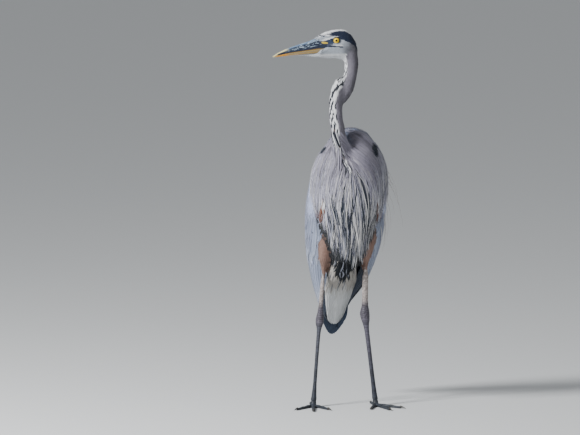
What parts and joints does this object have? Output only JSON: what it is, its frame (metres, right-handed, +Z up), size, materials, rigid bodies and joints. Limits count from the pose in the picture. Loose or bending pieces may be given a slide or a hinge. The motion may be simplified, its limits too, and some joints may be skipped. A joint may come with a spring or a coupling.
{
  "type": "great blue heron",
  "caption": "Standing wading bird: long pointed bill, slender kinked neck with the head turned aside, folded wings, hanging breast plumes and long bare legs.",
  "frame": {"origin": "middle of the underside of the bounding box, on the floor between the feet", "axes": "+Z up, -Y the way the body faces, +X the bird's left; the head is turned towards -X"},
  "size_m": [0.3312, 0.3274, 0.9121],
  "materials": {
    "plumage": "soft matt blue-grey contour feathers",
    "pale_plumage": "soft matt white and pale grey plumes",
    "slate_plumage": "smooth slate flight feathers, faint sheen",
    "rufous_plumage": "short matt rufous feathers",
    "bill_horn": "satin slate-blue horn with fine streaks",
    "bill_yellow": "satin tan horn, orange-yellow at the tip",
    "eye": "wet gloss yellow iris round a black pupil",
    "leg_skin": "scaly skin, pale above the joint and slate below",
    "claw_horn": "satin black horn"
  },
  "bodies": {
    "root": {"head": "pale_plumage", "bill_upper": "bill_horn", "bill_lower": "bill_yellow", "eye_left": "eye", "eye_right": "eye", "neck_upper": "plumage", "neck_lower": "plumage", "trunk": "plumage", "breast_plumes": "pale_plumage", "tail": "slate_plumage", "wing_left": "plumage", "flight_feathers_left": "slate_plumage", "thigh_left": "rufous_plumage", "shank_left": "leg_skin", "tarsus_left": "leg_skin", "foot_left": "leg_skin", "claw_left_inner": "claw_horn", "claw_left_middle": "claw_horn", "claw_left_outer": "claw_horn", "claw_left_hind": "claw_horn", "wing_right": "plumage", "flight_feathers_right": "slate_plumage", "thigh_right": "rufous_plumage", "shank_right": "leg_skin", "tarsus_right": "leg_skin", "foot_right": "leg_skin", "claw_right_inner": "claw_horn", "claw_right_middle": "claw_horn", "claw_right_outer": "claw_horn", "claw_right_hind": "claw_horn"}
  },
  "joints": []
}
